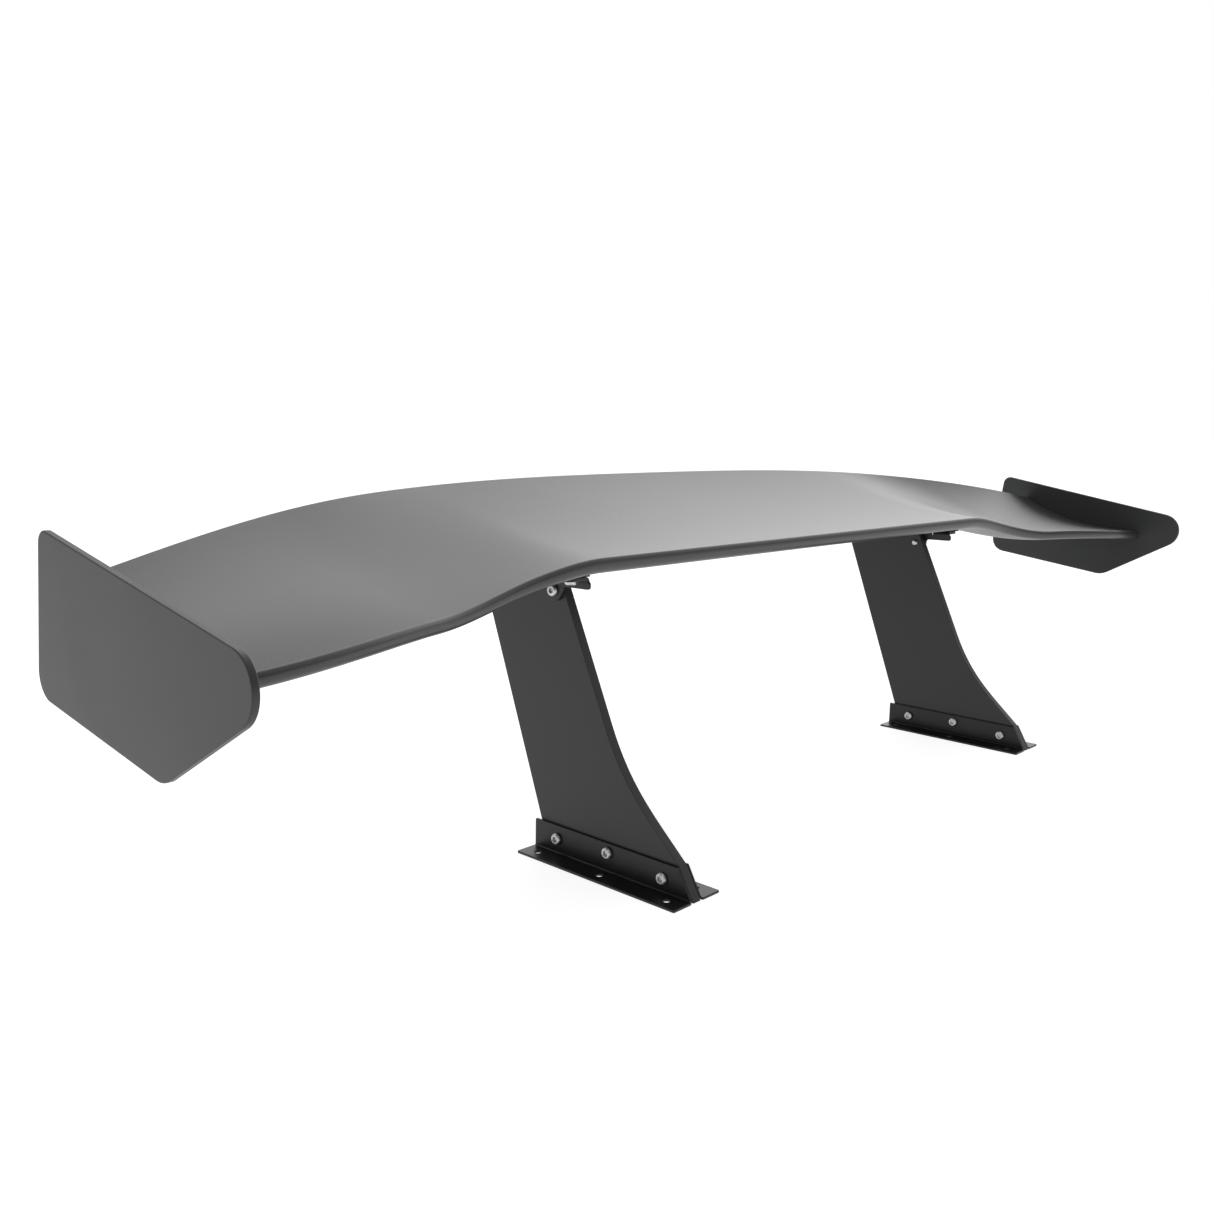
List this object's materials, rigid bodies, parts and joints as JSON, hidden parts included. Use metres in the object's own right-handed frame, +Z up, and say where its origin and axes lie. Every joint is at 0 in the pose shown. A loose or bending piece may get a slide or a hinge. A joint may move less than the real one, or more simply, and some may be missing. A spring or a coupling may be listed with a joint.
{
  "type": "racing rear wing",
  "caption": "Rear wing for a car: a hollow moulded blade with raised middle and end plates, on alloy stands that let its angle be set.",
  "frame": {"origin": "on the ground plane, under the middle of the wing's outline seen from above", "axes": "+X along the span, +Y to the rear of the car, +Z up"},
  "size_m": [1.448, 0.368, 0.3235],
  "materials": {
    "moulded_abs": "satin",
    "plate_abs": "satin",
    "black_alloy": "satin",
    "steel_fastener": "polished",
    "rubber_pad": "matte",
    "bare_alloy": "satin"
  },
  "bodies": {
    "stands": {"stand_left": "black_alloy", "stand_right": "black_alloy", "foot_angle_left_outboard": "black_alloy", "foot_angle_left_inboard": "black_alloy", "foot_angle_right_outboard": "black_alloy", "foot_angle_right_inboard": "black_alloy", "foot_bolt_left_1": "steel_fastener", "foot_bolt_left_2": "steel_fastener", "foot_bolt_left_3": "steel_fastener", "foot_bolt_right_1": "steel_fastener", "foot_bolt_right_2": "steel_fastener", "foot_bolt_right_3": "steel_fastener", "foot_washer_left_1": "steel_fastener", "foot_washer_left_2": "steel_fastener", "foot_washer_left_3": "steel_fastener", "foot_washer_right_1": "steel_fastener", "foot_washer_right_2": "steel_fastener", "foot_washer_right_3": "steel_fastener", "foot_nut_left_1": "steel_fastener", "foot_nut_left_2": "steel_fastener", "foot_nut_left_3": "steel_fastener", "foot_nut_right_1": "steel_fastener", "foot_nut_right_2": "steel_fastener", "foot_nut_right_3": "steel_fastener", "pivot_bolt_left": "steel_fastener", "pivot_bolt_right": "steel_fastener", "adjuster_washer_left": "steel_fastener", "adjuster_washer_right": "steel_fastener", "adjuster_bolt_left": "steel_fastener", "adjuster_bolt_right": "steel_fastener"},
    "wing": {"blade_upper_skin": "moulded_abs", "blade_lower_skin": "moulded_abs", "tip_cap_left": "moulded_abs", "tip_cap_right": "moulded_abs", "bond_pad_left": "rubber_pad", "bond_pad_right": "rubber_pad", "end_plate_left": "plate_abs", "end_plate_right": "plate_abs", "bracket_left": "black_alloy", "bracket_right": "black_alloy", "blade_pad_left_front": "rubber_pad", "blade_pad_left_rear": "rubber_pad", "blade_pad_right_front": "rubber_pad", "blade_pad_right_rear": "rubber_pad", "backing_plate_left_front": "bare_alloy", "backing_plate_left_rear": "bare_alloy", "backing_plate_right_front": "bare_alloy", "backing_plate_right_rear": "bare_alloy", "blade_screw_left_front": "steel_fastener", "blade_screw_left_rear": "steel_fastener", "blade_screw_right_front": "steel_fastener", "blade_screw_right_rear": "steel_fastener"}
  },
  "joints": [
    {"name": "blade_angle", "type": "hinge", "parent": "stands", "child": "wing", "pos_m": [0, 0.00395, 0.2375], "axis": [1, 0, 0], "range_deg": [-5, 5]}
  ]
}
